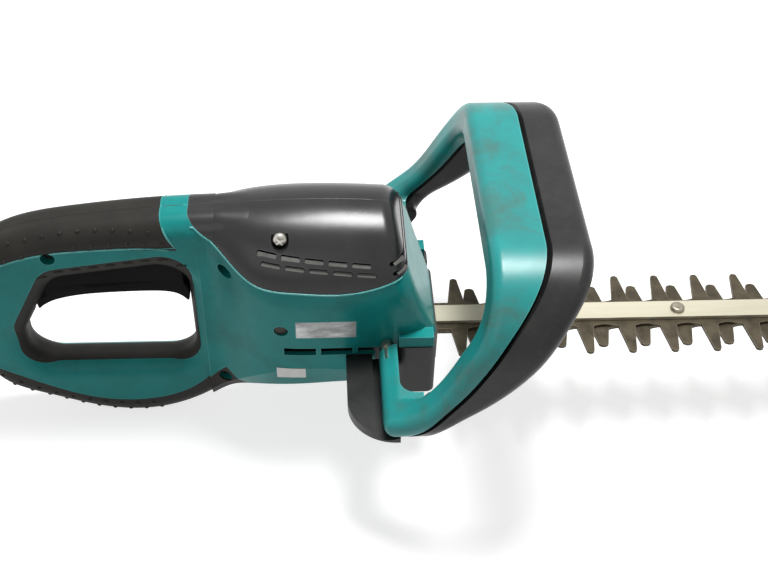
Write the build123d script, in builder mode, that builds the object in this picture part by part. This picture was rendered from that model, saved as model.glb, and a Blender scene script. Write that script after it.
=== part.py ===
from build123d import *
from math import acos, cos, pi, radians, sin, tan

# Electric hedge trimmer, in millimetres, with +X along the blade and +Z up.
# The origin is at the root of the blade, between the two cutting plates.

# Cutting blade
tooth_pitch = 27.0
tooth_count = 20
first_tooth_x = 13.0
blade_thickness = 2.0
spine_width = 24.0
long_tooth_span = 69.8
long_tooth_root = 11.0
long_tooth_tip = 4.6
short_tooth_span = 54.5
short_tooth_root = 11.4
short_tooth_tip = 6.0
short_tooth_shift = 10.0
gullet_depth = 1.6
tip_crown = 1.4
spine_overrun = 18.0
half_stroke = 5.0
bar_width = 14.5
bar_thickness = 2.4
bar_overrun = 9.0
bar_setback = 1.0
blade_screw_count = 6
first_blade_screw_x = 66.0
blade_screw_pitch = 90.0
blade_screw_head_radius = 4.6
blade_screw_head_height = 2.6
blade_screw_dome_share = 0.7
blade_screw_radius = 2.5
sleeve_radius = 4.0
nut_radius = 6.5
nut_height = 4.0

# Crank drive
gear_module = 1.0
pinion_teeth = 14
gear_teeth = 56
pressure_angle = 25.0
tooth_backlash = 0.35
tooth_addendum = 0.85
tooth_dedendum = 1.2
crank_x = -48.0
gear_bottom = 7.0
gear_width = 7.0
gear_side_room = 1.1
gear_hole_count = 5
gear_hole_ring_share = 0.62
gear_hole_size_share = 0.18
pinion_width = 9.0
pinion_room = 2.0
crank_shaft_radius = 4.0
crank_collar_rim = 2.0
cam_radius = 10.5
yoke_rim = 4.0
bearing_width = 6.0
bearing_rim = 5.0
case_front = -3.0
case_front_wall = 13.0
case_step_x = -24.0
case_wall = 3.0
case_rear_wall = 3.5
case_floor = -5.0
case_ceiling = 15.7
case_ledge = 1.3
case_top = 27.0
case_cover_depth = 10.0
case_cover_width = 50.0
ear_span = 92.0
ear_bottom = -19.0
ear_top = 20.0
ear_rear = -28.0
ear_front = -5.0
ear_round = 5.0
case_lug_x = -99.0
case_lug_z = 31.0
case_lug_size = 11.0

# Motor
rotor_shaft_radius = 4.0
shroud_radius = 31.0
shroud_wall = 3.0
shroud_height = 14.0
field_height = 26.0
field_radius = 32.0
field_bore = 20.0
core_radius = 19.4
core_inset = 1.0
core_slots = 12
core_slot_length_share = 0.7
core_slot_width_share = 0.14
fan_radius = 26.5
fan_blades = 13
fan_height = 8.0
fan_lift = 2.0
fan_hub_rim = 5.0
fan_sheet = 1.6
fan_blade_setback = 0.5
carrier_radius = 31.0
carrier_height = 16.5
carrier_step = 9.0
carrier_bore = 14.5
carrier_top_radius = 21.0
carrier_roof = 1.0
commutator_radius = 10.5
commutator_height = 8.0
commutator_lift = 0.5
brush_width = 6.0
brush_length = 14.0
brush_gap = 0.15
brush_holder_wall = 1.4
brush_holder_setback = 1.0

# Body shell: each section gives its place, half width, top, lean of the sides in degrees,
# height of the knee above the bottom chamfer, and bottom.
wall = 3.2
body_sections = [
    (-147.0, 17.2, 96.9, 0.0, -44.0, -54.0),
    (-136.0, 20.2, 97.6, 1.0, -36.0, -46.0),
    (-119.0, 35.5, 98.6, 4.0, -19.0, -32.0),
    (-98.0, 43.0, 99.6, 5.8, -7.0, -26.0),
    (-75.0, 44.0, 100.0, 6.0, -5.0, -24.0),
    (-40.0, 43.5, 98.5, 6.0, -5.0, -24.0),
    (6.0, 40.0, 95.0, 6.0, -5.0, -24.0),
]
body_chamfer = 6.0
nose_top = (-32.0, 100.0)
nose_foot = (-4.0, 15.0)
nose_round = 11.0
mouth_rear = -42.0
mouth_top = 15.0
cap_top = 28.0
cap_span = 90.0
cap_inset = 3.0

# Rear handle
handle_width = 36.0
handle_foot_width = 27.0
handle_crest = 100.0
handle_bottom = -76.0
handle_round = 12.0
handle_inner_round = 12.5
handle_front = -136.0
handle_outline = [
    (handle_front, 97.4),
    (-163.0, 96.2),
    (-223.0, 90.0),
    (-262.0, 80.5),
    (-287.0, 61.0),
    (-297.0, 26.0),
    (-294.0, -14.0),
    (-281.0, -41.0),
    (-254.0, -56.0),
    (-224.0, -68.0),
    (-191.0, -72.0),
    (-160.0, -63.0),
    (handle_front, -46.0),
]
opening_corners = [(-260.0, -23.0), (-155.0, -23.0), (-155.0, 62.0), (-236.0, 50.0), (-260.0, 4.0)]
opening_round = 18.0
liner_widths = [1.2, 3.5, 12.0, 9.0, 4.5]
pad_thickness = 1.6
seam = 0.1

pad_edge = [(-306.0, 36.0), (-285.0, 54.0), (-263.0, 66.5), (-238.0, 74.5), (-203.0, 78.0), (-174.0, 78.5),
            (-158.0, 76.0)]
pad_front = [(-164.5, 88.0), (-170.0, 104.0)]
strip_edge = [(-306.0, -8.0), (-280.0, -23.0), (-257.0, -37.0), (-222.0, -53.0), (-196.0, -56.0),
              (-169.0, -50.0), (-148.0, -34.0)]
strip_peak = [(-136.0, -22.0), (-122.0, -36.0)]
cover_edge = [(-153.0, 99.0), (-144.0, 89.0), (-129.0, 77.0), (-113.0, 67.0), (-92.0, 64.5), (-63.0, 63.0),
              (-34.0, 69.0), (-10.0, 82.0)]
vent_count = 5
vent_length = 11.6
vent_height = 2.6
vent_rows = [((-112.0, 85.5), (-44.0, 78.5)), ((-110.0, 80.5), (-41.0, 73.5))]
nose_vents = [(-29.0, 80.0), (-27.0, 75.0)]
nose_vent_length = 12.0
vent_tilt = -5.9
lower_vent_count = 3
lower_vent_first_x = -88.0
lower_vent_pitch = 22.5
lower_vent_z = 12.0
lower_vent_size = (19.5, 6.5)
plate_box = (-90.0, -54.0, 25.5, 40.0)

# Trigger
trigger_width = 16.0
trigger_pivot = (-165.0, 67.0)
trigger_pin_radius = 2.0
trigger_pin_length = 26.0
trigger_side_gap = 0.6
switch_size = (30.0, 12.0, 12.0)
switch_centre = (-190.0, 81.0)
gland_radius = 8.0
gland_bore = 4.2
gland_z = 14.0
gland_stand = 6.0
gland_length = 20.0
gland_round = 2.0

trigger_edge = [(-246.0, 24.0), (-234.0, 29.5), (-210.0, 34.0), (-173.0, 36.5), (-157.5, 34.0)]
trigger_round = 6.0
trigger_lug_radius = 5.0
trigger_tuck = 5.0
trigger_slot = (-252.0, -156.0, 20.0, 70.0)
spring_gauge = 1.3
spring_width = 4.0
rib_size = (16.0, 8.0)

# Front handle
hoop_width = 232.0
hoop_top_width = 214.0
hoop_top = 115.0
hoop_foot = 2.0
hoop_band = 22.0
hoop_top_round = 52.0
hoop_foot_round = 26.0
hoop_edge_round = 7.0
hoop_wall = 4.0
hoop_rear_curve = [(-40.0, 20.0), (-23.5, 29.0), (-13.5, 38.0), (-5.0, 50.0), (2.0, 63.0),
                   (12.6, 85.0), (17.0, 104.0), (17.0, 124.0)]
hoop_front_curve = [(84.0, 124.0), (77.0, 108.0), (61.0, 88.0), (40.0, 58.0), (14.5, 33.5),
                    (-8.0, 15.0), (-15.0, -2.0)]
hoop_split_curve = [(58.0, 128.0), (41.0, 105.0), (25.0, 84.0), (6.0, 52.0), (-12.0, 29.0),
                    (-28.0, 12.0), (-46.0, 7.0)]
hoop_gap = 2.6
hoop_gap_angle = 40.0
arm_front = -29.5
arm_free_span = 170.0
arm_round = 9.0
arm_end = 46.0
arm_step = 13.5
arm_solid_span = 124.0
arm_clear_top = 60.0
fin_span = 212.0
fin_rear = -60.0
fin_front = -30.0
fin_inner_span = 80.6
fin_top = 10.0
fin_thickness = 6.0
fin_round = 28.0
bar_pivot = (-35.0, 19.5)
bar_pin_radius = 2.5
bar_pin_length = 22.0
front_switch_size = (20.0, 12.0, 12.0)

# Screws and fits
shell_screw_radius = 2.0
shell_screw_head_radius = 4.0
shell_screw_head_height = 2.6
shell_screw_depth = 9.0
shell_screw_length = 22.0
shell_screw_places = [(-234.0, 71.0), (-131.0, 66.0), (-137.0, -31.0), (-276.0, 42.0)]
boss_radius = 6.2
cover_screw_place = (-97.5, 91.0)
cover_screw_seat = 23.0
cover_pocket_radius = 5.2
cover_boss_wall = 1.4
cover_screw_end = 12.0
slide_gap = 0.1
run_gap = 0.05
side_gap = 0.4
rest_gap = 0.3
thread_gap = 0.02

# Derived places
bar_bottom = blade_thickness + 1.5 * slide_gap
bar_top = bar_bottom + bar_thickness
last_tooth_x = first_tooth_x + tooth_pitch * (tooth_count - 1)
spine_end = last_tooth_x + spine_overrun
bar_end = spine_end + half_stroke + bar_overrun
pinion_radius = gear_module * pinion_teeth / 2
gear_radius = gear_module * gear_teeth / 2
motor_x = crank_x - pinion_radius - gear_radius
gear_tip = gear_radius + tooth_addendum * gear_module
pinion_tip = pinion_radius + tooth_addendum * gear_module
bearing_radius = crank_shaft_radius + bearing_rim
slot_half_x = cam_radius + 2 * half_stroke + side_gap
slot_half_y = cam_radius + half_stroke + side_gap
yoke_half_x = slot_half_x + yoke_rim
yoke_half_y = slot_half_y + yoke_rim
case_width = 2 * (gear_tip + gear_side_room + case_wall)
cavity_front = case_front - case_front_wall
cavity_rear = motor_x - pinion_tip - pinion_room
case_rear = cavity_rear - case_rear_wall
field_bottom = case_top + shroud_height
field_top = field_bottom + field_height
carrier_top = field_top + carrier_height
half_body = 160.0
far_up = 140.0
far_down = -140.0
side_share = 0.9


def save(part, name):
    part.label = name
    export_step(part, f"parts/{name}.step")


def involute(radius, base):
    roll = acos(min(1.0, base / radius))
    return tan(roll) - roll


def gear_points(teeth):
    """Outline of a spur gear with involute flanks, thinned by the backlash."""
    pitch_radius = gear_module * teeth / 2
    base = pitch_radius * cos(radians(pressure_angle))
    root = pitch_radius - tooth_dedendum * gear_module
    tip = pitch_radius + tooth_addendum * gear_module
    half_tooth = pi / (2 * teeth) - tooth_backlash / (2 * pitch_radius)
    start = max(root, base)
    flank_radii = [root] + [start + (tip - start) * k / 4 for k in range(5)]
    half_angles = []
    for radius in flank_radii:
        turned = involute(pitch_radius, base) - involute(max(radius, base), base)
        half_angles.append(half_tooth + turned)
    points = []
    for tooth in range(teeth):
        middle = 2 * pi * tooth / teeth
        rising = list(zip(flank_radii, [middle - a for a in half_angles]))
        falling = list(zip(flank_radii, [middle + a for a in half_angles]))[::-1]
        points += [(r * cos(a), r * sin(a)) for r, a in rising + falling]
    return points


def shifted(points, amount):
    """The points of an open curve, moved to the left of its run by an amount."""
    moved = []
    for k, (x, z) in enumerate(points):
        before = points[max(k - 1, 0)]
        after = points[min(k + 1, len(points) - 1)]
        run = (after[0] - before[0], after[1] - before[1])
        length = (run[0] ** 2 + run[1] ** 2) ** 0.5
        moved.append((x - amount * run[1] / length, z + amount * run[0] / length))
    return moved


def body_section(half_width, top, lean, knee, bottom, inset):
    """One section of the motor body: a round crown, leaning sides and a chamfered foot."""
    radius = half_width - inset
    centre = top - half_width
    tilt = radians(lean)
    turn = (pi / 2 - tilt) / 2
    crown = (0, centre + radius)
    middle = (radius * cos(turn), centre + radius * sin(turn))
    shoulder = (radius * cos(tilt), centre - radius * sin(tilt))
    side = (shoulder[0] - (shoulder[1] - knee) * tan(tilt), knee)
    foot = (side[0] - body_chamfer, bottom + inset)
    with BuildLine() as outline:
        ThreePointArc(crown, middle, shoulder)
        Line(shoulder, side)
        Line(side, foot)
        Line(foot, (-foot[0], foot[1]))
        Line((-foot[0], foot[1]), (-side[0], side[1]))
        Line((-side[0], side[1]), (-shoulder[0], shoulder[1]))
        ThreePointArc((-shoulder[0], shoulder[1]), (-middle[0], middle[1]), crown)
    return outline.line


def body_form(inset, mouth):
    """The lofted motor body, drawn in by the inset, with its raked nose open below the mouth."""
    with BuildPart() as bulk:
        for place, *shape in body_sections:
            section = body_section(*shape, inset)
            with BuildSketch(Plane.YZ.offset(place)):
                with BuildLine():
                    add(section)
                make_face()
        loft()
    rise = nose_top[1] - nose_foot[1]
    run = nose_foot[0] - nose_top[0]
    nose_plane = Plane(origin=(nose_foot[0] - inset, 0, nose_foot[1]), x_dir=(0, 1, 0), z_dir=(rise, 0, run))
    with BuildPart() as form:
        add(bulk.part)
        split(bisect_by=nose_plane, keep=Keep.BOTTOM)
        with BuildSketch(Plane.XY.offset(mouth)):
            with Locations((mouth_rear, 0)):
                Rectangle(half_body, half_body, align=(Align.MIN, Align.CENTER))
        extrude(amount=-half_body, mode=Mode.SUBTRACT)
        nose = form.faces().filter_by(GeomType.PLANE).sort_by(Axis.X)[-1]
        fillet(nose.edges().sort_by(Axis.Z)[1:], nose_round - inset)
    return form.part


def opening_points(grows):
    """Corners of the hand opening, with each of its sides moved outward by its own amount."""
    sides = []
    for k, (x, z) in enumerate(opening_corners):
        next_x, next_z = opening_corners[(k + 1) % len(opening_corners)]
        run_x, run_z = next_x - x, next_z - z
        length = (run_x ** 2 + run_z ** 2) ** 0.5
        sides.append((x + grows[k] * run_z / length, z - grows[k] * run_x / length, run_x, run_z))
    corners = []
    for k, (x, z, run_x, run_z) in enumerate(sides):
        last_x, last_z, last_run_x, last_run_z = sides[k - 1]
        cross = run_x * last_run_z - run_z * last_run_x
        share = ((last_x - x) * last_run_z - (last_z - z) * last_run_x) / cross
        corners.append((x + share * run_x, z + share * run_z))
    return corners


def leaning_sides(form):
    """The two plane sides of the rear handle, which lean in towards its foot."""
    return [face for face in form.faces().filter_by(GeomType.PLANE) if abs(face.normal_at().Y) > side_share]


def handle_form(inset):
    """The closed rear handle loop with rounded edges, drawn in by the inset."""
    outline = shifted(handle_outline, inset)
    foot = handle_foot_width / 2 - inset
    crest = handle_width / 2 - inset
    with BuildPart() as form:
        with BuildSketch(Plane.XZ):
            with BuildLine():
                Spline(*outline)
                Line(outline[-1], outline[0])
            make_face()
        extrude(amount=handle_width, both=True)
        with BuildSketch(Plane.YZ.offset(-2 * half_body)):
            Polygon((-foot, handle_bottom), (foot, handle_bottom), (crest, handle_crest),
                    (-crest, handle_crest), align=None)
        extrude(amount=2 * half_body, mode=Mode.INTERSECT)
        side_edges = [edge for face in leaning_sides(form) for edge in face.edges()]
        fillet([edge for edge in side_edges if edge.geom_type != GeomType.LINE], handle_round - inset)
        with BuildSketch(Plane.XZ) as window:
            Polygon(*opening_points([inset] * len(opening_corners)), align=None)
            fillet(window.vertices(), opening_round + inset)
        extrude(amount=handle_width, both=True, mode=Mode.SUBTRACT)
        fillet([edge for face in leaning_sides(form) for edge in face.inner_wires()[0].edges()],
               handle_inner_round - inset)
    return form.part


def shell_form(inset, mouth):
    """Motor body and rear handle as one rounded form, drawn in by the inset."""
    body = body_form(inset, mouth)
    handle = handle_form(inset)
    with BuildPart() as form:
        add(body)
        add(handle)
    return form.part


def side_region(curve, edge, drop):
    """A region seen from the side, bounded by a smooth curve and a far edge, through the full width."""
    low = [(x, z - drop) for x, z in curve]
    with BuildPart() as region:
        with BuildSketch(Plane.XZ):
            with BuildLine():
                Spline(*low)
                Polyline(low[-1], *edge, low[0])
            make_face()
        extrude(amount=half_body, both=True)
    return region.part


def cross_rod(place, radius, near, far):
    """A round rod along Y at a place seen from the side, from near to far."""
    with BuildPart() as rod:
        with BuildSketch(Plane.XZ.offset(-far)):
            with Locations(place):
                Circle(radius)
        extrude(amount=far - near)
    return rod.part


def upright(radius, bottom, top, x=0.0, y=0.0, bore=0.0):
    """A round or tubular piece standing along Z."""
    with BuildPart() as piece:
        with BuildSketch(Plane.XY.offset(bottom)):
            with Locations((x, y)):
                Circle(radius)
                if bore > 0:
                    Circle(bore, mode=Mode.SUBTRACT)
        extrude(amount=top - bottom)
    return piece.part


# Blades: two toothed plates that slide against each other under a fixed guide bar
def blade_part(span, root, tip, shift, bottom):
    reach = span / 2
    spine = spine_width / 2
    slot_width = 2 * (sleeve_radius + side_gap)
    screw_places = [(first_blade_screw_x + blade_screw_pitch * k, 0) for k in range(blade_screw_count)]
    with BuildPart() as blade:
        with BuildSketch(Plane.XY.offset(bottom)):
            with BuildLine():
                for side in (-1, 1):
                    last = (crank_x, side * spine)
                    for k in range(tooth_count):
                        x = first_tooth_x + shift + tooth_pitch * k
                        heel = (x - root / 2, side * spine)
                        if k == 0:
                            Line(last, heel)
                        else:
                            ThreePointArc(last, (x - tooth_pitch / 2, side * (spine - gullet_depth)), heel)
                        Line(heel, (x - tip / 2, side * (reach - tip_crown)))
                        ThreePointArc((x - tip / 2, side * (reach - tip_crown)), (x, side * reach),
                                      (x + tip / 2, side * (reach - tip_crown)))
                        last = (x + root / 2, side * spine)
                        Line((x + tip / 2, side * (reach - tip_crown)), last)
                    Line(last, (spine_end, side * spine))
                Line((spine_end, -spine), (spine_end, spine))
                Line((crank_x, -spine), (crank_x, spine))
            make_face()
            with Locations((crank_x, 0)):
                Rectangle(2 * yoke_half_x, 2 * yoke_half_y)
                Rectangle(2 * slot_half_x, 2 * slot_half_y, mode=Mode.SUBTRACT)
            with Locations(*screw_places):
                SlotOverall(slot_width + 2 * half_stroke, slot_width, mode=Mode.SUBTRACT)
        extrude(amount=blade_thickness)
    return blade.part


upper_blade = blade_part(long_tooth_span, long_tooth_root, long_tooth_tip, 0.0, slide_gap / 2)
save(upper_blade, "upper_blade")
lower_blade = blade_part(short_tooth_span, short_tooth_root, short_tooth_tip, short_tooth_shift,
                         -slide_gap / 2 - blade_thickness)
save(lower_blade, "lower_blade")

bar_rear = cavity_front + bar_setback
with BuildPart() as guide_bar:
    with BuildSketch(Plane.XY.offset(bar_bottom)) as bar_plan:
        with Locations((bar_rear, 0)):
            Rectangle(bar_end - bar_rear, bar_width, align=(Align.MIN, Align.CENTER))
        fillet(bar_plan.vertices().group_by(Axis.X)[-1], bar_width / 2 - slide_gap)
        for k in range(blade_screw_count):
            with Locations((first_blade_screw_x + blade_screw_pitch * k, 0)):
                Circle(blade_screw_radius + thread_gap, mode=Mode.SUBTRACT)
    extrude(amount=bar_thickness)
save(guide_bar.part, "guide_bar")

# Blade screws: a domed head on the bar, and a shouldered nut whose sleeve the blades slide on
sleeve_bottom = -bar_bottom
for k in range(blade_screw_count):
    x = first_blade_screw_x + blade_screw_pitch * k
    with BuildPart() as blade_screw:
        with BuildSketch(Plane.XY.offset(bar_top)):
            with Locations((x, 0)):
                Circle(blade_screw_head_radius)
        extrude(amount=blade_screw_head_height)
        dome = blade_screw.edges().group_by(Axis.Z)[-1]
        fillet(dome, blade_screw_head_height * blade_screw_dome_share)
        with BuildSketch(Plane.XY.offset(bar_top)):
            with Locations((x, 0)):
                Circle(blade_screw_radius)
        extrude(amount=sleeve_bottom - nut_height - bar_top)
    save(blade_screw.part, f"blade_screw_{k + 1}")
    with BuildPart() as blade_nut:
        with BuildSketch(Plane.XY.offset(sleeve_bottom)):
            with Locations((x, 0)):
                RegularPolygon(nut_radius, 6)
        extrude(amount=-nut_height)
        with BuildSketch(Plane.XY.offset(sleeve_bottom)):
            with Locations((x, 0)):
                Circle(sleeve_radius)
        extrude(amount=bar_bottom - sleeve_bottom)
        with BuildSketch(Plane.XY.offset(bar_bottom)):
            with Locations((x, 0)):
                Circle(blade_screw_radius + thread_gap)
        extrude(amount=sleeve_bottom - nut_height - bar_bottom, mode=Mode.SUBTRACT)
    save(blade_nut.part, f"blade_nut_{k + 1}")

# Crank: a gear on an upright shaft with two opposed round cams inside the blade yokes
gear_top = gear_bottom + gear_width
collar_radius = crank_shaft_radius + crank_collar_rim
crank_bearing_top = case_ceiling + slide_gap + bearing_width
crank_bearing_bottom = case_floor - slide_gap - bearing_width
plate_top = slide_gap / 2 + blade_thickness
with BuildPart() as crank_shaft:
    add(upright(crank_shaft_radius, crank_bearing_bottom, crank_bearing_top, crank_x))
    add(upright(collar_radius, plate_top + slide_gap, gear_bottom - thread_gap, crank_x))
    add(upright(collar_radius, gear_top + thread_gap, case_ceiling - slide_gap, crank_x))
    add(upright(collar_radius, case_floor + slide_gap, -plate_top - slide_gap, crank_x))
save(crank_shaft.part, "crank_shaft")

with BuildPart() as crank_gear:
    with BuildSketch(Plane.XY.offset(gear_bottom)):
        with Locations((crank_x, 0)):
            Polygon(*gear_points(gear_teeth), align=None)
            Circle(crank_shaft_radius + thread_gap, mode=Mode.SUBTRACT)
        with Locations((crank_x, 0)):
            with PolarLocations(gear_radius * gear_hole_ring_share, gear_hole_count):
                Circle(gear_radius * gear_hole_size_share, mode=Mode.SUBTRACT)
    extrude(amount=gear_width)
save(crank_gear.part, "crank_gear")

for name, side, bottom in (("upper_cam", 1, slide_gap / 2), ("lower_cam", -1, -plate_top)):
    with BuildPart() as cam:
        with BuildSketch(Plane.XY.offset(bottom)):
            with Locations((crank_x, side * half_stroke)):
                Circle(cam_radius)
            with Locations((crank_x, 0)):
                Circle(crank_shaft_radius + thread_gap, mode=Mode.SUBTRACT)
        extrude(amount=blade_thickness)
    save(cam.part, name)

crank_bore = crank_shaft_radius + thread_gap
crank_upper_bearing = upright(bearing_radius, crank_bearing_top - bearing_width, crank_bearing_top,
                              crank_x, 0.0, crank_bore)
save(crank_upper_bearing, "crank_upper_bearing")
crank_lower_bearing = upright(bearing_radius, crank_bearing_bottom, crank_bearing_bottom + bearing_width,
                              crank_x, 0.0, crank_bore)
save(crank_lower_bearing, "crank_lower_bearing")

# Gear case: a cast box that carries the crank, the motor and the guide bar, with two side ears
case_length = case_front - case_rear
rotor_ledge = case_ceiling + case_ledge
rotor_bearing_radius = rotor_shaft_radius + bearing_rim
with BuildPart() as gear_case:
    with BuildSketch(Plane.XY.offset(case_floor)) as case_plan:
        with Locations((case_rear, 0)):
            Rectangle(case_length, case_width, align=(Align.MIN, Align.CENTER))
        fillet(case_plan.vertices(), ear_round)
    extrude(amount=case_top - case_floor)
    with BuildSketch(Plane.XY.offset(case_floor)):
        with Locations((cavity_rear, 0)):
            Rectangle(cavity_front - cavity_rear, case_width - 2 * case_wall, align=(Align.MIN, Align.CENTER))
    extrude(amount=case_ceiling - case_floor, mode=Mode.SUBTRACT)
    with BuildSketch(Plane.XY.offset(case_floor)):
        with Locations((cavity_front, 0)):
            Rectangle(2 * case_front_wall, spine_width + 2 * side_gap, align=(Align.CENTER, Align.CENTER))
    extrude(amount=bar_bottom - case_floor, mode=Mode.SUBTRACT)
    with BuildSketch(Plane.XY.offset(bar_bottom)):
        with Locations((bar_rear, 0)):
            Rectangle(2 * case_front_wall, bar_width + 2 * thread_gap, align=(Align.MIN, Align.CENTER))
    extrude(amount=bar_thickness, mode=Mode.SUBTRACT)
    add(upright(bearing_radius + thread_gap, case_ceiling, crank_bearing_top + slide_gap, crank_x),
        mode=Mode.SUBTRACT)
    add(upright(rotor_bearing_radius + thread_gap, rotor_ledge, case_top, motor_x), mode=Mode.SUBTRACT)
    add(upright(rotor_shaft_radius + side_gap, case_ceiling, case_top, motor_x), mode=Mode.SUBTRACT)
    for side in (-1, 1):
        ear_middle = side * (case_width + ear_span) / 4
        with BuildSketch(Plane.XY.offset(ear_bottom)):
            with Locations(((ear_rear + ear_front) / 2, ear_middle - side * case_wall / 2)):
                Rectangle(ear_front - ear_rear, (ear_span - case_width) / 2 + case_wall)
        extrude(amount=ear_top - ear_bottom)
        lug_middle = side * (case_width / 2 - case_wall / 2)
        with BuildSketch(Plane.XY.offset(case_ceiling)):
            with Locations((case_lug_x, lug_middle)):
                Rectangle(case_lug_size, case_wall)
        extrude(amount=case_lug_z + case_lug_size / 2 - case_ceiling)
    with BuildSketch(Plane.XY.offset(mouth_top - rest_gap)):
        with Locations((case_step_x, 0)):
            Rectangle(case_length, case_width, align=(Align.MIN, Align.CENTER))
    extrude(amount=case_top, mode=Mode.SUBTRACT)
    ear_edges = gear_case.edges().filter_by(Axis.Z).filter_by_position(Axis.Z, ear_bottom, ear_top)
    outer_edges = [e for e in ear_edges if abs(abs(e.center().Y) - ear_span / 2) < slide_gap]
    fillet(outer_edges, ear_round)
    for side in (-1, 1):
        add(cross_rod((case_lug_x, case_lug_z), shell_screw_radius + thread_gap,
                      side * case_width / 2 - case_wall - slide_gap,
                      side * case_width / 2 + case_wall + slide_gap), mode=Mode.SUBTRACT)
save(gear_case.part, "gear_case")

case_cover_bottom = case_floor - case_cover_depth
with BuildPart() as gear_case_cover:
    with BuildSketch(Plane.XY.offset(case_floor)) as lid_plan:
        with Locations((case_rear, 0)):
            Rectangle(case_length, case_cover_width, align=(Align.MIN, Align.CENTER))
        fillet(lid_plan.vertices(), ear_round)
    extrude(amount=-case_cover_depth)
    add(upright(bearing_radius + thread_gap, crank_bearing_bottom - slide_gap, case_floor, crank_x),
        mode=Mode.SUBTRACT)
save(gear_case_cover.part, "gear_case_cover")

# Motor: upright universal motor behind the crank
rotor_bearing_bottom = carrier_top - carrier_roof - bearing_width
shroud = upright(shroud_radius, case_top, field_bottom, motor_x, 0.0, shroud_radius - shroud_wall)
save(shroud, "fan_shroud")

with BuildPart() as motor_field:
    add(upright(field_radius, field_bottom, field_top, motor_x, 0.0, field_bore))
    for side in (-1, 1):
        with BuildSketch(Plane.XY.offset(field_bottom)):
            with Locations((motor_x + side * (field_bore + field_radius) / 2, 0)):
                Rectangle(brush_width, field_bore)
        extrude(amount=field_height, mode=Mode.SUBTRACT)
save(motor_field.part, "motor_field")

pinion_bottom = gear_bottom - (pinion_width - gear_width) / 2
rotor_bore = rotor_shaft_radius + thread_gap
with BuildPart() as rotor_shaft:
    with BuildSketch(Plane.XY.offset(pinion_bottom)):
        with Locations(Location((motor_x, 0), 180.0 / pinion_teeth)):
            Polygon(*gear_points(pinion_teeth), align=None)
    extrude(amount=pinion_width)
    add(upright(rotor_shaft_radius, pinion_bottom, rotor_bearing_bottom + bearing_width, motor_x))
save(rotor_shaft.part, "rotor_shaft")

with BuildPart() as rotor_core:
    with BuildSketch(Plane.XY.offset(field_bottom + core_inset)):
        with Locations((motor_x, 0)):
            Circle(core_radius)
            Circle(rotor_bore, mode=Mode.SUBTRACT)
            with PolarLocations(core_radius, core_slots):
                SlotOverall(core_radius * core_slot_length_share, core_radius * core_slot_width_share,
                            mode=Mode.SUBTRACT)
    extrude(amount=field_height - 2 * core_inset)
save(rotor_core.part, "rotor_core")

commutator_bottom = field_top + commutator_lift
commutator = upright(commutator_radius, commutator_bottom, commutator_bottom + commutator_height,
                     motor_x, 0.0, rotor_bore)
save(commutator, "commutator")

fan_bottom = case_top + fan_lift
hub_radius = rotor_shaft_radius + fan_hub_rim
with BuildPart() as cooling_fan:
    add(upright(fan_radius, fan_bottom, fan_bottom + fan_sheet, motor_x))
    add(upright(hub_radius, fan_bottom, fan_bottom + fan_height, motor_x))
    with BuildSketch(Plane.XY.offset(fan_bottom)):
        with Locations((motor_x, 0)):
            with PolarLocations((fan_radius + hub_radius) / 2 - fan_blade_setback, fan_blades):
                Rectangle(fan_radius - hub_radius, fan_sheet)
    extrude(amount=fan_height)
    add(upright(rotor_bore, fan_bottom, fan_bottom + fan_height, motor_x), mode=Mode.SUBTRACT)
save(cooling_fan.part, "cooling_fan")

rotor_lower_bearing = upright(rotor_bearing_radius, rotor_ledge, rotor_ledge + bearing_width,
                              motor_x, 0.0, rotor_bore)
save(rotor_lower_bearing, "rotor_lower_bearing")
rotor_upper_bearing = upright(rotor_bearing_radius, rotor_bearing_bottom,
                              rotor_bearing_bottom + bearing_width, motor_x, 0.0, rotor_bore)
save(rotor_upper_bearing, "rotor_upper_bearing")

# Brush carrier: moulded cap on the field that holds the upper bearing and two sprung brushes
brush_z = field_top + carrier_step / 2
holder_size = brush_width + 2 * brush_holder_wall
holder_inner = carrier_bore
holder_outer = carrier_radius - brush_holder_setback
with BuildPart() as brush_carrier:
    add(upright(carrier_radius, field_top, field_top + carrier_step, motor_x))
    add(upright(carrier_top_radius, field_top, carrier_top, motor_x))
    add(upright(carrier_bore, field_top, rotor_bearing_bottom - slide_gap, motor_x), mode=Mode.SUBTRACT)
    add(upright(rotor_bearing_radius + thread_gap, field_top,
                rotor_bearing_bottom + bearing_width + slide_gap, motor_x), mode=Mode.SUBTRACT)
    with Locations((motor_x, 0, brush_z)):
        Box(holder_size + 2 * thread_gap, 2 * (holder_outer + thread_gap), holder_size + 2 * thread_gap,
            mode=Mode.SUBTRACT)
save(brush_carrier.part, "brush_carrier")

with BuildPart() as brush_holders:
    for side in (-1, 1):
        with Locations((motor_x, side * (holder_inner + holder_outer) / 2, brush_z)):
            Box(holder_size, holder_outer - holder_inner, holder_size)
    with Locations((motor_x, 0, brush_z)):
        Box(brush_width + 2 * thread_gap, 2 * (holder_outer - brush_holder_wall),
            brush_width + 2 * thread_gap, mode=Mode.SUBTRACT)
save(brush_holders.part, "brush_holders")

brush_tip = commutator_radius + brush_gap
with BuildPart() as carbon_brushes:
    for side in (-1, 1):
        with Locations((motor_x, side * (brush_tip + brush_length / 2), brush_z)):
            Box(brush_width, brush_length, brush_width)
save(carbon_brushes.part, "carbon_brushes")

# Front switch on the gear case
with BuildPart() as front_switch:
    with Locations((crank_x + front_switch_size[0], 0, case_top + front_switch_size[2] / 2)):
        Box(*front_switch_size)
save(front_switch.part, "front_switch")

# Housing: two clamshell halves that meet on the middle plane
outer_form = shell_form(0.0, mouth_top)
floor_form = shell_form(pad_thickness, mouth_top)
cavity_form = shell_form(wall, case_cover_bottom)


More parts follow.
